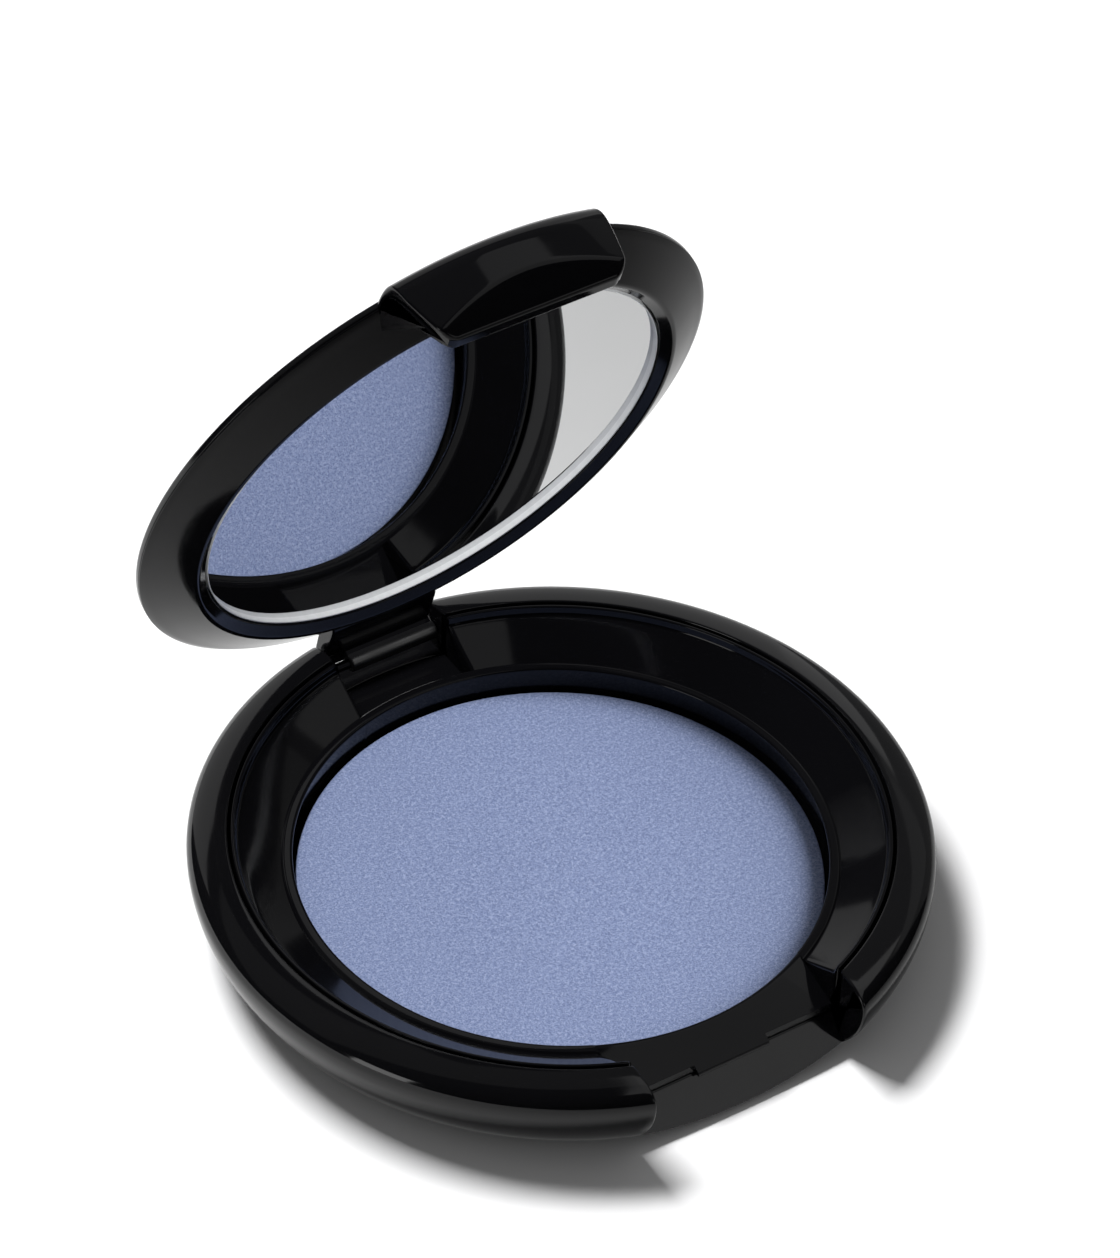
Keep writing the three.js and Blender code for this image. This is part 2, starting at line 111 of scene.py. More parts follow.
TAB_HOLLOW = [(-29.2, 10.2, 0.1), (-31.2, 9.9, 0.8), (-32.4, 9.0, 0.7), (-32.9, 7.5, 0.7),
              (-32.9, 4.5, 0.6), (-32.5, TAB_LOW, 0.25)]
TAB_FOOT = (-32.9, TAB_LOW, 0)
THUMB_LOW, THUMB_LEAN = (-33.98, TAB_LOW), -2.02 / 3.15
CATCH_HOOK = [(-33.1, 4.3, 0), (-33.1, 2.9, 0), (-32.3, 2.9, 0.1), (-30.3, 3.6, 0.12), (-30.05, 4.0, 0.12),
              (-33.1, 4.3, 0)]
HOOK_HALF_WIDTH = 3
LID_OPEN = math.radians(-72)

# ---- how finely the outlines and sweeps are divided ---------------------------------------------
TURN_STEPS = 256
LOW_STEPS, HIGH_STEPS, FUNNEL_STEPS, TAB_STEPS, DOME_STEPS = 12, 64, 48, 150, 40
ARC_COLUMNS, NOTCH_COLUMNS, POCKET_COLUMNS, TAB_COLUMNS = 170, 41, 15, 61
ROUND_ENDS = (90, 65, 40, 20)    # degrees, from the flat end outwards
CREASE = 38                      # degrees between two faces that meet at a sharp edge

# ---- outline tools ------------------------------------------------------------------------------


def rounded(corners, steps=4):
    """An outline with rounded corners, from (u, v, cut back from the corner) triples."""
    out = []
    for i, (u, v, cut) in enumerate(corners):
        here = np.array((u, v), float)
        if cut == 0 or i in (0, len(corners) - 1):
            out.append(here)
            continue
        before = np.array(corners[i - 1][:2], float) - here
        after = np.array(corners[i + 1][:2], float) - here
        length = np.linalg.norm(before), np.linalg.norm(after)
        reach = min(cut, 0.48 * length[0], 0.48 * length[1])
        start, end = here + before / length[0] * reach, here + after / length[1] * reach
        for k in range(steps + 1):
            f = k / steps
            out.append((1 - f) ** 2 * start + 2 * f * (1 - f) * here + f * f * end)
    return np.array(out)


def bezier(control, steps):
    points = []
    for k in range(steps + 1):
        level = [np.array(p, float) for p in control]
        while len(level) > 1:
            level = [a + (b - a) * (k / steps) for a, b in zip(level, level[1:])]
        points.append(level[0])
    return np.array(points)


def along(curve, start, end, count):
    """count points of a polyline between two fractions of its length in points."""
    at = np.linspace(start, end, count) * (len(curve) - 1)
    return np.stack([np.interp(at, np.arange(len(curve)), curve[:, k]) for k in (0, 1)], 1)


def split_plan(points, count):
    """How often to divide each stretch of an outline for it to have count points."""
    lengths = np.linalg.norm(np.diff(points, axis=0), axis=1)
    plan = np.ones(len(lengths), int)
    while plan.sum() < count - 1:
        plan[np.argmax(lengths / plan)] += 1
    return plan


def divided(points, plan):
    out = [points[0]]
    for a, b, n in zip(points, points[1:], plan):
        out += [a + (b - a) * k / n for k in range(1, n + 1)]
    return np.array(out)


def inset(section, amount):
    """The section moved into its material, on the left of its direction, by amount at each point."""
    step = np.gradient(section, axis=0)
    step /= np.linalg.norm(step, axis=1)[:, None] + 1e-12
    return section + np.stack([-step[:, 1], step[:, 0]], 1) * np.asarray(amount)[..., None]


def cut_loop(section, x, side):
    """A section of a round piece by the plane at x; side is -1 at the front and 1 at the back."""
    y = side * np.sqrt(np.maximum(section[:, 0] ** 2 - x ** 2, 0))
    return np.stack([np.full(len(section), float(x)), y, section[:, 1]], 1)


def flat_loop(section, x):
    """A section given as (y, z), at x."""
    return np.stack([np.full(len(section), float(x)), section[:, 0], section[:, 1]], 1)


def arc_loops(section, x_front, x_back, columns):
    """Sections swept round the right side from the plane at x_front to the one at x_back."""
    r, z = section.T
    first, last = np.arcsin(x_front / r), math.pi - np.arcsin(x_back / r)
    loops = []
    for k in range(columns + 1):
        a = first + (last - first) * k / columns
        loops.append(np.stack([r * np.sin(a), -r * np.cos(a), z], 1))
    return loops


def end_loops(section, x, side, weight):
    """Sections that round off the end of a swept piece at x, from the flat end outwards."""
    loops = []
    for degrees in ROUND_ENDS:
        a = math.radians(degrees)
        moved = inset(section, weight * END_ROUND * (1 - math.cos(a)))
        loops.append(cut_loop(moved, x + END_ROUND * (1 - math.sin(a)), side))
    return loops


def side_loops(section, weight):
    """A section swept round the right side from the notch to the hinge pocket. Its ends are rounded off
    where weight is 1 and stay flat where it is 0."""
    return (end_loops(section, NOTCH, -1, weight)
            + arc_loops(section, NOTCH + END_ROUND, POCKET + END_ROUND, ARC_COLUMNS)
            + list(reversed(end_loops(section, POCKET, 1, weight))))


def mirrored(loops):
    return [loop * np.array((-1, 1, 1)) for loop in reversed(loops)]


# ---- mesh tools ---------------------------------------------------------------------------------
def grid_faces(rows, columns, closed_rows=False, closed_columns=False):
    faces = []
    for i in range(rows if closed_rows else rows - 1):
        for j in range(columns if closed_columns else columns - 1):
            a, b = i * columns + j, i * columns + (j + 1) % columns
            c, d = (i + 1) % rows * columns + (j + 1) % columns, (i + 1) % rows * columns + j
            faces.append((a, b, c, d))
    return faces


def lid_points(points):
    """Closed-lid coordinates swung open about the hinge, in millimetres."""
    cos, sin = math.cos(LID_OPEN), math.sin(LID_OPEN)
    x, y, z = np.asarray(points, float).T
    y, z = y - HINGE_Y, z - HINGE_Z
    return np.stack([x, y * cos - z * sin + HINGE_Y, y * sin + z * cos + HINGE_Z], 1)


def piece(name, parts, body, material, node=None):
    """One object from (points, faces) parts in millimetres, the lid's as if it were closed. It stands for
    a CAD node, if one is named."""
    mesh = bpy.data.meshes.new(name)
    build = bmesh.new()
    for points, faces in parts:
        points = lid_points(points) if body == "lid" else points
        verts = [build.verts.new(Vector(p) * MM) for p in points]
        for face in faces:
            build.faces.new([verts[i] for i in face])
    bmesh.ops.remove_doubles(build, verts=build.verts, dist=2e-6)
    bmesh.ops.dissolve_degenerate(build, edges=build.edges, dist=1e-6)
    bmesh.ops.recalc_face_normals(build, faces=build.faces)
    for face in build.faces:
        face.smooth = True
    build.to_mesh(mesh)
    build.free()
    mesh.set_sharp_from_angle(angle=math.radians(CREASE))
    mesh.materials.append(material)
    obj = bpy.data.objects.new(name, mesh)
    bpy.context.scene.collection.objects.link(obj)
    weighted = obj.modifiers.new("even_normals", "WEIGHTED_NORMAL")
    weighted.keep_sharp = True
    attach(obj, body)
    if node:
        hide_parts(node)
    return obj


def turned(section, segments=TURN_STEPS, ring=False):
    """A full turn of an (r, z) outline about Z. The outline starts and ends on the axis, or else it is
    joined end to end into a ring."""
    angles = np.arange(segments) / segments * 2 * math.pi
    points = np.concatenate([
        np.stack([section[:, 0] * math.cos(a), section[:, 0] * math.sin(a), section[:, 1]], 1)
        for a in angles])
    return points, grid_faces(segments, len(section), closed_rows=True, closed_columns=ring)


def hubbed(loops, low_hub, high_hub):
    """Loops closed into a ring, with round discs joining their first and last points to the axis.
    low_hub and high_hub are outlines (r, z) from beside the loops to the axis."""
    count = len(loops[0])
    points = [np.concatenate(loops)]
    faces = grid_faces(len(loops), count, closed_rows=True)
    offset = len(points[0])
    for edge, hub in ((0, low_hub), (count - 1, high_hub)):
        rim = np.array([loop[edge] for loop in loops])
        direction = rim[:, :2] / np.linalg.norm(rim[:, :2], axis=1)[:, None]
        rings = [rim]
        for r, z in hub:
            rings.append(np.concatenate([direction * r, np.full((len(rim), 1), z)], 1))
        stacked = np.concatenate(rings)
        faces += [tuple(offset + i for i in face)
                  for face in grid_faces(len(rings), len(rim), closed_columns=True)]
        points.append(stacked)
        offset += len(stacked)
    return np.concatenate(points), faces


def capped(loops):
    """Loops along a bar, with flat ends."""
    count = len(loops[0])
    faces = grid_faces(len(loops), count, closed_columns=True)
    faces.append(tuple(range(count)))
    faces.append(tuple(range((len(loops) - 1) * count, len(loops) * count)))
    return np.concatenate(loops), faces


# ---- materials ----------------------------------------------------------------------------------
class Nodes:
    """Short names for building one material's nodes."""

    def __init__(self, name):
        self.material = bpy.data.materials.new(name)
        self.material.use_nodes = True
        self.tree = self.material.node_tree
        self.shader = self.tree.nodes["Principled BSDF"]
        self.place = self.tree.nodes.new("ShaderNodeTexCoord").outputs["Object"]

    def add(self, kind, inputs=(), **settings):
        node = self.tree.nodes.new("ShaderNode" + kind)
        for key, value in settings.items():
            setattr(node, key, value)
        for key, value in dict(inputs).items():
            self.set(node.inputs[key], value)
        return node

    def set(self, socket, value):
        if isinstance(value, bpy.types.NodeSocket):
            self.tree.links.new(value, socket)
        else:
            socket.default_value = value

    def noise(self, scale, detail=3, roughness=0.5, stretch=None):
        vector = self.place
        if stretch:
            vector = self.add("Mapping", {"Vector": self.place, "Scale": stretch}).outputs["Vector"]
        inputs = {"Vector": vector, "Scale": scale, "Detail": detail, "Roughness": roughness}
        return self.add("TexNoise", inputs).outputs["Fac"]

    def remap(self, value, low, high, new_low, new_high):
        node = self.add("MapRange", {"Value": value, "From Min": low, "From Max": high,
                                     "To Min": new_low, "To Max": new_high})
        return node.outputs["Result"]

    def blend(self, factor, first, second):
        node = self.add("Mix", data_type="RGBA")
        self.set(node.inputs["Factor"], factor)
        self.set(node.inputs["A"], first)
        self.set(node.inputs["B"], second)
        return node.outputs["Result"]

    def bump(self, height, strength, distance):
        inputs = {"Height": height, "Strength": strength, "Distance": distance}
        return self.add("Bump", inputs).outputs["Normal"]

    def finish(self, **inputs):
        for key, value in inputs.items():
            self.set(self.shader.inputs[key.replace("_", " ")], value)
        return self.material


def gloss_plastic(name, tone, roughness, specular=0.5):
    """Polished black moulding: faint flow marks, hairline handling marks, a trace of dust."""
    n = Nodes(name)
    flow = n.noise(55, 2)
    hair = n.noise(900, 2, 0.6, (1, 0.06, 1))
    marks = n.remap(hair, 0.58, 0.72, 0, 1)
    rough = n.remap(n.noise(240, 4), 0.3, 0.75, roughness * 0.8, roughness * 1.5)
    marked = n.add("Math", {0: rough, 1: n.remap(marks, 0, 1, 0, 0.03)}, operation="ADD").outputs[0]
    color = n.blend(flow, (*[c * 0.8 for c in tone], 1), (*[c * 1.25 for c in tone], 1))
    normal = n.bump(flow, 0.06, 0.0002)
    return n.finish(Base_Color=color, Roughness=marked, IOR=1.5, Specular_IOR_Level=specular, Normal=normal)


def powder():
    """Matt pressed powder with fine grain and faint pearl flakes."""
    n = Nodes("pressed_powder")
    broad = n.noise(45, 2)
    grain = n.noise(2900, 2, 0.7)
    fine = n.noise(5600, 1, 0.6)
    color = n.blend(broad, (0.232, 0.288, 0.482, 1), (0.256, 0.318, 0.526, 1))
    color = n.blend(n.remap(grain, 0.42, 0.68, 0, 0.8), color, (0.41, 0.475, 0.7, 1))
    color = n.blend(n.remap(fine, 0.34, 0.52, 0.7, 0), color, (0.125, 0.165, 0.32, 1))
    return n.finish(Base_Color=color, Roughness=n.remap(grain, 0.55, 0.75, 0.85, 0.5),
                    Normal=n.bump(grain, 0.6, 0.00006))


def mirror_silver():
    n = Nodes("mirror_silver")
    haze = n.noise(120, 4)
    return n.finish(Base_Color=n.blend(haze, (0.76, 0.765, 0.77, 1), (0.79, 0.795, 0.8, 1)),
                    Metallic=1.0, Roughness=n.remap(haze, 0.45, 0.8, 0.004, 0.03))


def ground_glass():
    n = Nodes("ground_glass_edge")
    streak = n.noise(1800, 3, 0.6, (1, 1, 0.2))
    return n.finish(Base_Color=n.blend(streak, (0.52, 0.53, 0.54, 1), (0.66, 0.67, 0.68, 1)),
                    Roughness=n.remap(streak, 0.3, 0.7, 0.35, 0.6), Normal=n.bump(streak, 0.3, 0.00002))


def sheet_metal(name, tone, streaks):
    n = Nodes(name)
    grain = n.noise(700, 4, 0.6, streaks)
    return n.finish(Base_Color=n.blend(grain, (*[c * 0.9 for c in tone], 1), (*tone, 1)),
                    Metallic=1.0, Roughness=n.remap(grain, 0.3, 0.7, 0.22, 0.42),
                    Normal=n.bump(grain, 0.15, 0.00002))


def matt(name, dark, light, scale, roughness):
    n = Nodes(name)
    fibre = n.noise(scale, 5, 0.65)
    return n.finish(Base_Color=n.blend(fibre, (*dark, 1), (*light, 1)),
                    Roughness=n.remap(fibre, 0.3, 0.7, roughness - 0.08, roughness + 0.05),
                    Normal=n.bump(fibre, 0.4, 0.00005))


CASING = gloss_plastic("gloss_black_casing", (0.0028, 0.0028, 0.0033), 0.07, 0.4)
INNER = gloss_plastic("gloss_black_inner", (0.0024, 0.0024, 0.0029), 0.06, 0.2)
BARREL = gloss_plastic("satin_black_barrel", (0.006, 0.006, 0.0065), 0.3)

# ---- base ---------------------------------------------------------------------------------------
outer_curve = np.concatenate([bezier(UNDERSIDE, 32), bezier(SHOULDER, 28)[1:]])


def front_wall_y(z, behind=0.0):
    """The sloping wall of the notch at a height, or a surface that lies so far behind it."""
    return CHORD_Y - FRONT_SETBACK + behind - (SILL_Z - z) * FRONT_SLOPE


def wall_crossing(x):
    """Where the outer curve meets the notch's sloping front wall, as a fraction along the curve."""
    r, z = outer_curve.T
    gap = -np.sqrt(r ** 2 - x ** 2) - front_wall_y(z)
    i = int(np.argmax(gap < 0))
    return (i - 1 + gap[i - 1] / (gap[i - 1] - gap[i])) / (len(outer_curve) - 1)


def base_shell():
    """The casing's outside is one curve; low is its part below the notch's wall, which goes all round."""
    split = wall_crossing(NOTCH)
    foot = np.array([(HUB_RADIUS, 0.0)])
    low = np.concatenate([foot, along(outer_curve, 0, split, LOW_STEPS)])
    rim = rounded([(*outer_curve[-3], 0), (RIM_INNER_RADIUS, RIM_HEIGHT, 0.22), (RIM_INNER_RADIUS, 9, 0),
                   (RIM_INNER_RADIUS, FLOOR, 0), (HUB_RADIUS, FLOOR, 0)], 5)
    high = np.concatenate([along(outer_curve, split, 1 - 2 / (len(outer_curve) - 1), 50)[1:], rim[1:]])
    high = divided(high, split_plan(high, HIGH_STEPS))
    section = np.concatenate([low, high])
    weight = np.clip((np.arange(len(section)) - len(low)) / 6, 0, 1)
    weight[-2:] = 0
    side_arc = side_loops(section, weight)
    # the low wall behind the hinge pocket
    fraction = np.interp(POCKET_FLOOR, outer_curve[:, 1], np.linspace(0, 1, len(outer_curve)))
    top = along(outer_curve, split, fraction, 16)[1:]
    ledge = rounded([(*top[-1], 0), (RIM_INNER_RADIUS, POCKET_FLOOR, 0.15), (RIM_INNER_RADIUS, FLOOR, 0),
                     (HUB_RADIUS, FLOOR, 0)])
    back = np.concatenate([top, ledge[1:]])
    back = np.concatenate([low, divided(back, split_plan(back, HIGH_STEPS))])
    pocket = [cut_loop(back, x, 1) for x in np.linspace(POCKET, -POCKET, POCKET_COLUMNS)]
    # the sloping front wall inside the notch
    notch = []
    plan = None
    for x in np.linspace(-NOTCH, NOTCH, NOTCH_COLUMNS):
        here = wall_crossing(x)
        under = np.concatenate([foot, along(outer_curve, 0, here, LOW_STEPS)])
        under = np.stack([-np.sqrt(under[:, 0] ** 2 - x ** 2), under[:, 1]], 1)
        wall = rounded([
            (*under[-1], 0), (front_wall_y(SILL_Z), SILL_Z, 0.12),
            (front_wall_y(SILL_Z, FRONT_WALL), SILL_Z, 0.12), (front_wall_y(FLOOR, FRONT_WALL), FLOOR, 0),
            (-math.sqrt(HUB_RADIUS ** 2 - x ** 2), FLOOR, 0)])
        plan = split_plan(wall, HIGH_STEPS + 1) if plan is None else plan
        notch.append(flat_loop(np.concatenate([under, divided(wall, plan)[1:]]), x))
    loops = side_arc + pocket + mirrored(side_arc) + notch
    bevel_out, bevel_up = LABEL_RECESS_BEVEL
    recess = [(LABEL_RECESS_RADIUS + bevel_out, 0), (LABEL_RECESS_RADIUS, bevel_up),
              (LABEL_RECESS_RADIUS, LABEL_RECESS), (0, LABEL_RECESS)]
    casing = hubbed(loops, recess, [(0, FLOOR)])
    return piece("base_casing", [casing], "base", CASING, "base_shell")


def inner_tray():
    """The tray in the casing: its outside, the funnel down to the ridge, and the ridge and well."""
    outside = rounded([(TRAY_HUB_RADIUS, TRAY_BOTTOM, 0), (TRAY_RADIUS, TRAY_BOTTOM, 0.2),
                       (TRAY_RADIUS, SHELF_Z, 0)])
    funnel = rounded([(TRAY_RADIUS, SHELF_Z, 0), (TRAY_RADIUS, TRAY_TOP, 0.12),
                      (TRAY_LIP_RADIUS, TRAY_TOP, 0.12), *TRAY_STEP, (*RIDGE_FOOT, 0.2)])
    funnel = divided(funnel, split_plan(funnel, FUNNEL_STEPS))
    ridge = rounded([
        (*RIDGE_FOOT, 0), (RIDGE_OUTER_RADIUS - 0.1, RIDGE_HEIGHT, 0.2), (WELL_RADIUS, RIDGE_HEIGHT, 0.3),
        (WELL_FOOT_RADIUS, TRAY_FLOOR, 0.1), (TRAY_HUB_RADIUS, TRAY_FLOOR, 0)])
    section = np.concatenate([outside, funnel[1:], ridge[1:]])
    weight = np.zeros(len(section))
    weight[len(outside) + 4:len(outside) + len(funnel) - 1] = 1
    side_arc = side_loops(section, weight)
    # the shelf in the hinge pocket
    shelf = rounded([(TRAY_RADIUS, SHELF_Z, 0), (RIDGE_OUTER_RADIUS + 0.3, SHELF_Z, 0.2), (*RIDGE_FOOT, 0)])
    shelf = divided(shelf, split_plan(shelf, len(funnel)))
    pocket = [cut_loop(np.concatenate([outside, shelf[1:], ridge[1:]]), x, 1)
              for x in np.linspace(POCKET, -POCKET, POCKET_COLUMNS)]
    # the ramp down to the notch, with the catch tongue in the middle of its edge
    notch = []
    plans = None
    columns = sorted([*np.linspace(-NOTCH, NOTCH, NOTCH_COLUMNS), -CATCH_HALF_WIDTH, CATCH_HALF_WIDTH,
                      -CATCH_HALF_WIDTH - CATCH_SIDE, CATCH_HALF_WIDTH + CATCH_SIDE])
    wall = FRONT_WALL + FRONT_GAP
    edge_low = (front_wall_y(SILL_Z, wall), SILL_Z + SILL_GAP)
    for x in columns:
        def across(radius):
            return -math.sqrt(radius ** 2 - x ** 2)

        tongue = abs(x) <= CATCH_HALF_WIDTH
        front = CHORD_Y - (CATCH_REACH if tongue else 0)
        nose = CHORD_Z - (CATCH_DROP if tongue else 0)
        ramp_end = (across(RIDGE_OUTER_RADIUS - 0.55), RIDGE_HEIGHT - 0.01, 0)
        low = rounded([(across(TRAY_HUB_RADIUS), TRAY_BOTTOM, 0),
                       (front_wall_y(TRAY_BOTTOM, wall), TRAY_BOTTOM, 0.2), (*edge_low, 0)])
        ramp = rounded([(*edge_low, 0), (front, SILL_Z + SILL_GAP, 0.06), (front, nose, 0.14),
                        (CHORD_Y + 0.02, CHORD_Z, 0.1), ramp_end])
        top = rounded([ramp_end, (across(WELL_RADIUS + 0.2), RIDGE_HEIGHT, 0.1),
                       (across(WELL_RADIUS), RIDGE_HEIGHT - 0.2, 0.1),
                       (across(WELL_FOOT_RADIUS), TRAY_FLOOR, 0.1),
                       (across(TRAY_HUB_RADIUS), TRAY_FLOOR, 0)])
        if plans is None:
            plans = [split_plan(outline, len(round_part))
                     for outline, round_part in ((low, outside), (ramp, funnel), (top, ridge))]
        low, ramp, top = (divided(outline, plan) for outline, plan in zip((low, ramp, top), plans))
        notch.append(flat_loop(np.concatenate([low, ramp[1:], top[1:]]), x))
    loops = side_arc + pocket + mirrored(side_arc) + notch
    moulding = hubbed(loops, [(0, TRAY_BOTTOM)], [(0, TRAY_FLOOR)])
    return piece("tray_moulding", [moulding], "base", INNER, "inner_tray")


def powder_pan():
    edge, sheet_top = PAN_RADIUS - PAN_SHEET, PAN_BOTTOM + PAN_SHEET
    section = rounded([(0, PAN_BOTTOM, 0), (PAN_RADIUS, PAN_BOTTOM, 0.4), (PAN_RADIUS, PAN_TOP, 0.1),
                       (edge, PAN_TOP, 0.1), (edge, sheet_top, 0.3), (0, sheet_top, 0)])
    return piece("pan_sheet", [turned(section, 160)], "base",
                 sheet_metal("pan_tinplate", (0.74, 0.74, 0.75), (1, 0.2, 1)), "powder_pan")


def powder_cake():
    """The cake's top has a slight crown, a softened edge and a faint unevenness from the press."""
    inner, outer = PAN_RADIUS - PAN_SHEET - CAKE_CLEARANCE, PAN_RADIUS + CAKE_CLEARANCE
    low, step = PAN_BOTTOM + PAN_SHEET + CAKE_CLEARANCE, PAN_TOP + CAKE_CLEARANCE
    edge_top, shoulder = CAKE_TOP - 0.02, outer - CAKE_SHOULDER
    side = rounded([(0, low, 0), (inner, low, 0.1), (inner, step, 0.03), (outer, step, 0.05),
                    (outer, edge_top, 0.16), (shoulder, CAKE_TOP + 0.002, 0)], 5)
    top = [(r, CAKE_TOP + CAKE_CROWN * (1 - (r / outer) ** 2)) for r in np.linspace(shoulder, 0, 60)]
    section = np.concatenate([side, top[1:]])
    points, faces = turned(section, 200)
    r = np.linalg.norm(points[:, :2], axis=1)
    on_top = (points[:, 2] > edge_top) * np.clip((outer - r) / CAKE_FADE, 0, 1)
    x, y = points[:, 0], points[:, 1]
    waves = (np.sin(x * 0.61 + 1.3 * np.sin(y * 0.37)) * np.sin(y * 0.53 + 0.9 * np.sin(x * 0.29 + 1))
             + 0.5 * np.sin(x * 1.7 + 0.4) * np.sin(y * 1.45 + 2.1))
    points[:, 2] += on_top * waves * CAKE_UNEVENNESS
    return piece("powder_pressed", [(points, faces)], "base", powder(), "powder_cake")


def axle(radius, x_low, x_high, rounding, segments):
    """A round bar on the hinge's axis."""
    section = rounded([(0, x_low, 0), (radius, x_low, rounding), (radius, x_high, rounding),
                       (0, x_high, 0)])
    points, faces = turned(section, segments)
    return np.stack([points[:, 2], points[:, 0] + HINGE_Y, points[:, 1] + HINGE_Z], 1), faces


def hinge_pin():
    wire = axle(PIN_RADIUS, -PIN_HALF_LENGTH, PIN_HALF_LENGTH, 0.12, 48)
    return piece("pin_wire", [wire], "base",
                 sheet_metal("pin_black_steel", (0.015, 0.015, 0.017), (0.1, 1, 1)), "hinge_pin")


# ---- lid, in closed coordinates ---------------------------------------------------------------
def lid_ring():
    """Lip, sloping face and back plate, turned; the face's edge is where the cover meets it."""
    return turned(rounded([(0, PLATE_LOW, 0), (OPENING_RADIUS, PLATE_LOW, 0), *LIP_AND_FACE,
                           (LID_RADIUS, FRAME_TOP, 0.06), (0, FRAME_TOP, 0)]))


def thumb_tab():
    """The tab carries the rim's curve across the notch; a flat cut for the thumb leaves a curved ridge."""
    edge = rounded([(x, z, 0.5) for x, z in TAB_EDGE], 3)
    shoulder = np.concatenate([[(BASE_RADIUS, 2.0), (BASE_RADIUS, 5.0)], bezier(TAB_SHOULDER, 24)])
    plans = []

    def half_width(height):
        return np.interp(height, edge[:, 1], edge[:, 0])

    def section_at(share, shrink=0.0):
        def across(radius, height):
            return -np.sqrt(radius ** 2 - (share * half_width(height)) ** 2)

        r, z = shoulder.T
        y = across(r, z)
        plane_y = THUMB_LOW[0] + (z - THUMB_LOW[1]) * THUMB_LEAN
        i = int(np.argmax(y > plane_y))
        f = (plane_y[i - 1] - y[i - 1]) / ((plane_y[i - 1] - y[i - 1]) - (plane_y[i] - y[i]))
        outer = along(np.stack([y, z], 1), (i - 1 + f) / (len(y) - 1), 1, 28)
        root = across(TAB_ROOT_RADIUS, TAB_TOP)
        face = rounded([TAB_FOOT, (*THUMB_LOW, 0.3), (*outer[0], 0.3), (*outer[2], 0)], 6)
        tail = rounded([
            (*outer[-2], 0), (*outer[-1], 0.25), (across(LID_RADIUS, TAB_TOP), FRAME_TOP - 0.02, 0.1),
            (root, 10.5, 0.1), (root - 0.1, 10.2, 0.05), *TAB_HOLLOW, TAB_FOOT], 5)
        outline = np.concatenate([face, outer[3:-2], tail[:-1]])
        if not plans:
            plans.append(split_plan(outline, TAB_STEPS))
        outline = divided(outline, plans[0])
        if shrink:
            outline = inset(outline, -shrink)
        return outline, share * half_width(outline[:, 1])

    end = []
    for degrees in ROUND_ENDS:
        a = math.radians(degrees)
        outline, x = section_at(1.0, TAB_END_ROUND * (1 - math.cos(a)))
        end.append(np.stack([x - TAB_END_ROUND * (1 - math.sin(a)), outline[:, 0], outline[:, 1]], 1))
    middle = []
    for share in np.linspace(1, -1, TAB_COLUMNS):
        outline, x = section_at(share)
        middle.append(np.stack([x * (1 - TAB_END_ROUND / edge[-1, 0]), outline[:, 0], outline[:, 1]], 1))
    return capped(end + middle + mirrored(end))


def catch_hook():
    """The hook inside the tab that snaps under the tongue."""
    columns = (-HOOK_HALF_WIDTH, 0.1 - HOOK_HALF_WIDTH, HOOK_HALF_WIDTH - 0.1, HOOK_HALF_WIDTH)
    return capped([flat_loop(rounded(CATCH_HOOK), x) for x in columns])


def rounded_bar(outline, x_low, x_high, rounding):
    """A bar along X with softened end edges, from an outline with its material on the left."""
    low, high = [], []
    for degrees in (90, 60, 30, 0):
        a = math.radians(degrees)
        moved = inset(outline, rounding * (1 - math.cos(a)))
        back = rounding * (1 - math.sin(a))
        low.append(flat_loop(moved, x_low + back))
        high.append(flat_loop(moved, x_high - back))
    return capped(high + list(reversed(low)))


def hinge_arm():
    """The flat arm, and the neck under its right part."""
    return [rounded_bar(rounded(ARM, 5), -ARM_HALF_WIDTH, ARM_HALF_WIDTH, 0.3),
            rounded_bar(rounded(ARM_NECK, 5), BARREL_LEFT, ARM_HALF_WIDTH, 0.1)]


def hinge_barrel():
    """The barrel that turns on the pin."""
    bar = axle(BARREL_RADIUS, BARREL_LEFT, BARREL_RIGHT, 0.2, 64)
    return piece("hinge_barrel", [bar], "lid", BARREL)


def lid_cover():
    """A shallow dome of about one wall thickness."""
    def dome(r_start, r_end, top, edge):
        return [(r, edge + (top - edge) * (1 - (r / LID_RADIUS) ** 2), 0)
                for r in np.linspace(r_start, r_end, DOME_STEPS)]

    inside = dome(0, COVER_INNER_RADIUS, DOME_TOP - COVER_WALL, COVER_EDGE - COVER_WALL + 0.1)
    outside = dome(LID_RADIUS - 1.2, 0, DOME_TOP, COVER_EDGE)
    section = rounded([*inside, (COVER_INNER_RADIUS, COVER_LOW, 0), (LID_RADIUS, COVER_LOW, 0.1),
                       (LID_RADIUS, COVER_EDGE, 0.45), *outside], 6)
    return piece("lid_dome", [turned(section)], "lid", CASING, "lid_cover")


def mirror():
    """Silvered face seen just inside the glass's ground white edge."""
    silver, back = MIRROR_FRONT + SILVER_DEPTH, MIRROR_FRONT + MIRROR_THICKNESS
    silver_radius, ring_radius = MIRROR_RADIUS - 0.12, MIRROR_RADIUS - 0.1
    face = np.array([(0, silver), (silver_radius, silver), (silver_radius, back), (0, back)])
    face = divided(face, [24, 1, 1])
    ring = rounded([(ring_radius, silver - 0.01, 0), (ring_radius, MIRROR_FRONT + 0.04, 0.06),
                    (MIRROR_RADIUS, MIRROR_FRONT, 0.06), (MIRROR_RADIUS, back, 0), (ring_radius, back, 0)])
    piece("mirror_face", [turned(face)], "lid", mirror_silver(), "mirror_glass")
    ground_edge = turned(ring, ring=True)
    piece("mirror_ground_edge", [ground_edge], "lid", ground_glass())


def lid_frame():
    parts = [lid_ring(), thumb_tab(), catch_hook(), *hinge_arm()]
    return piece("lid_moulding", parts, "lid", INNER, "lid_frame")


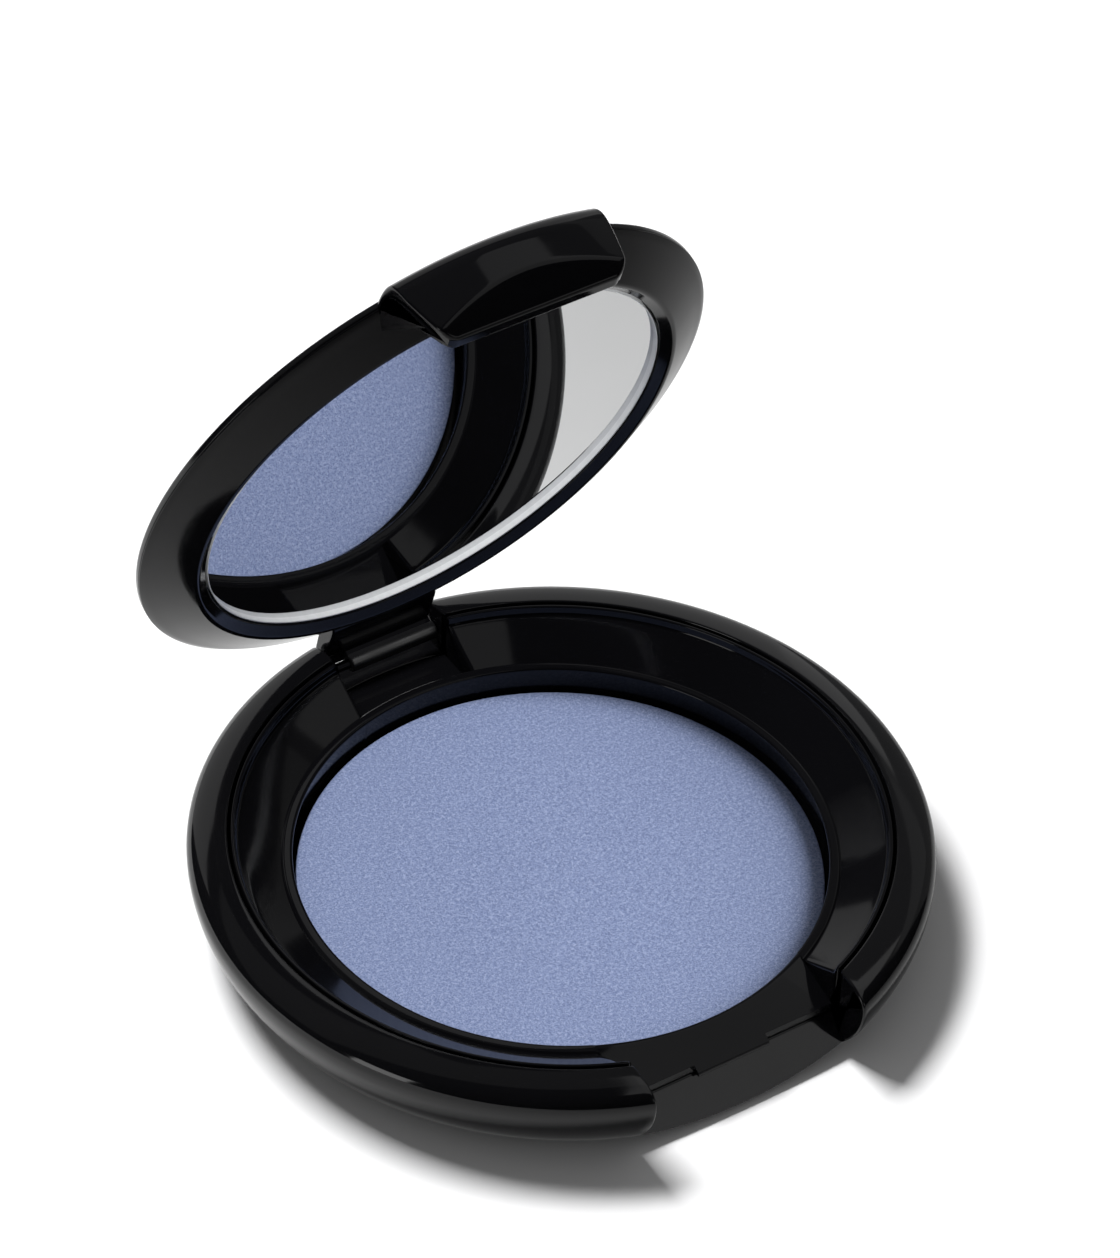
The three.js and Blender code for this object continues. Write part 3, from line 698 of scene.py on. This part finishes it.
def finish_hidden_pieces():
    """Papery, tacky and spongy finishes for the CAD nodes that stay as they are."""
    finishes = {
        "bottom_label": matt("label_paper", (0.66, 0.66, 0.66), (0.78, 0.78, 0.77), 900, 0.8),
        "pan_adhesive": matt("tacky_adhesive", (0.6, 0.56, 0.46), (0.74, 0.7, 0.6), 400, 0.5),
        "mirror_pad": matt("pad_foam", (0.5, 0.5, 0.47), (0.66, 0.66, 0.63), 1200, 0.9)}
    for node, material in finishes.items():
        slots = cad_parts[node].data.materials
        slots.clear()
        slots.append(material)


cake_piece = powder_cake()
base_pieces = [base_shell(), inner_tray(), powder_pan(), cake_piece, hinge_pin()]
barrel_piece = hinge_barrel()
lid_frame()
lid_cover()
mirror()
finish_hidden_pieces()

# ---- stage and light ----------------------------------------------------------------------------
scene = bpy.context.scene
FLOOR_HALF_SIZE = 3.0            # metres, as all below
REFLECTED_FLOOR_DEPTH = 0.00002
LIGHT_DISTANCE = 0.9
LIGHT_AIM = Vector((0, 0, 0.01))
WORLD_STRENGTH = 0.23

# name, azimuth and elevation, width and height in degrees, radiance: seen only in the gloss
REFLECTIONS = [
    ("backdrop_glow", (72, 20), (62, 40), 0.55),
    ("backdrop_fade", (20, 20), (44, 40), 0.15),
    ("ceiling", (80, 66), (120, 42), 0.11),
    ("side_box", (336, 62), (46, 38), 0.62),
    ("strip", (190, 12), (16, 24), 3),
    ("front_low", (286, 18), (26, 18), 0.85)]


def flat_ground(name, height, material):
    size = FLOOR_HALF_SIZE
    corners = [(-size, -size, height), (size, -size, height), (size, size, height), (-size, size, height)]
    mesh = bpy.data.meshes.new(name)
    mesh.from_pydata(corners, [], [(0, 1, 2, 3)])
    mesh.materials.append(material)
    ground = bpy.data.objects.new(name, mesh)
    scene.collection.objects.link(ground)
    return ground


def stage():
    """A white floor for the eye, and just under it a greyer one, paler behind the left side, that only
    reflections show. Its colour is painted light and shade: grey for floor in shade on the camera's side,
    pale for floor lit behind the left."""
    n = Nodes("pale_floor")
    white = n.finish(Base_Color=n.blend(n.noise(3, 2), (0.86, 0.86, 0.865, 1), (0.88, 0.88, 0.885, 1)),
                     Roughness=0.9)
    floor = flat_ground("floor", 0, white)
    floor.visible_glossy = False
    n = Nodes("reflected_floor")
    turned_place = n.add("Mapping", {"Vector": n.place, "Rotation": (0, 0, math.radians(-140))})
    side = n.add("SeparateXYZ", {"Vector": turned_place.outputs["Vector"]}).outputs["X"]
    # painted light and shade: the reflected floor is grey where shaded and pale where lit
    grey = n.finish(Base_Color=n.blend(n.remap(side, -0.1, 0.1, 0, 1), (0.31, 0.31, 0.31, 1),
                                       (0.84, 0.84, 0.84, 1)),
                    Roughness=0.9)
    reflected = flat_ground("reflected_floor", -REFLECTED_FLOOR_DEPTH, grey)
    reflected.visible_camera = False
    reflected.visible_diffuse = False
    reflected.visible_shadow = False


def area_light(name, direction, spread, radiance, shines_on):
    """A softbox that the object sees in a direction (azimuth from +X towards +Y, elevation), spread so
    wide and high, all in degrees. It shines on "diffuse" or on "glossy" surfaces."""
    azimuth, elevation = (math.radians(angle) for angle in direction)
    width, height = (2 * LIGHT_DISTANCE * math.tan(math.radians(angle) / 2) for angle in spread)
    data = bpy.data.lights.new(name, "AREA")
    data.shape, data.size, data.size_y = "RECTANGLE", width, height
    data.energy = radiance * math.pi * width * height
    light = bpy.data.objects.new(name, data)
    towards = Vector((math.cos(azimuth) * math.cos(elevation), math.sin(azimuth) * math.cos(elevation),
                      math.sin(elevation)))
    light.location = LIGHT_AIM + towards * LIGHT_DISTANCE
    light.rotation_mode = "QUATERNION"
    light.rotation_quaternion = towards.to_track_quat("Z", "Y")
    light.visible_camera = False
    light.visible_diffuse = shines_on == "diffuse"
    light.visible_glossy = shines_on == "glossy"
    scene.collection.objects.link(light)
    return light


def group(name, objects):
    collection = bpy.data.collections.new(name)
    for obj in objects:
        collection.objects.link(obj)
    return collection


def light_stage():
    """The key lights all but the powder, which has a fill of its own, and only the base casts their
    shadows. One more light is seen in the hinge's barrel alone, and the rest in all the gloss."""
    all_but_powder = [obj for obj in scene.objects if obj.type == "MESH" and obj != cake_piece]
    shadow_casters = group("base_pieces", base_pieces)
    key = area_light("key", (109, 61), (24, 14), 43, "diffuse")
    key.light_linking.receiver_collection = group("all_but_powder", all_but_powder)
    key.light_linking.blocker_collection = shadow_casters
    fill = area_light("powder_fill", (338, 36), (50, 50), 6.6, "diffuse")
    fill.light_linking.receiver_collection = group("powder_only", [cake_piece])
    fill.light_linking.blocker_collection = shadow_casters
    glint = area_light("barrel_glint", (305, 45), (50, 50), 1.0, "glossy")
    glint.light_linking.receiver_collection = group("barrel_only", [barrel_piece])
    for name, direction, spread, radiance in REFLECTIONS:
        area_light(name, direction, spread, radiance, "glossy")
    world = bpy.data.worlds.new("studio")
    world.use_nodes = True
    background = world.node_tree.nodes["Background"]
    background.inputs["Color"].default_value = (0.9, 0.9, 0.9, 1)
    background.inputs["Strength"].default_value = WORLD_STRENGTH
    world.cycles_visibility.glossy = False
    scene.world = world
    scene.view_settings.view_transform = "Standard"


stage()
light_stage()
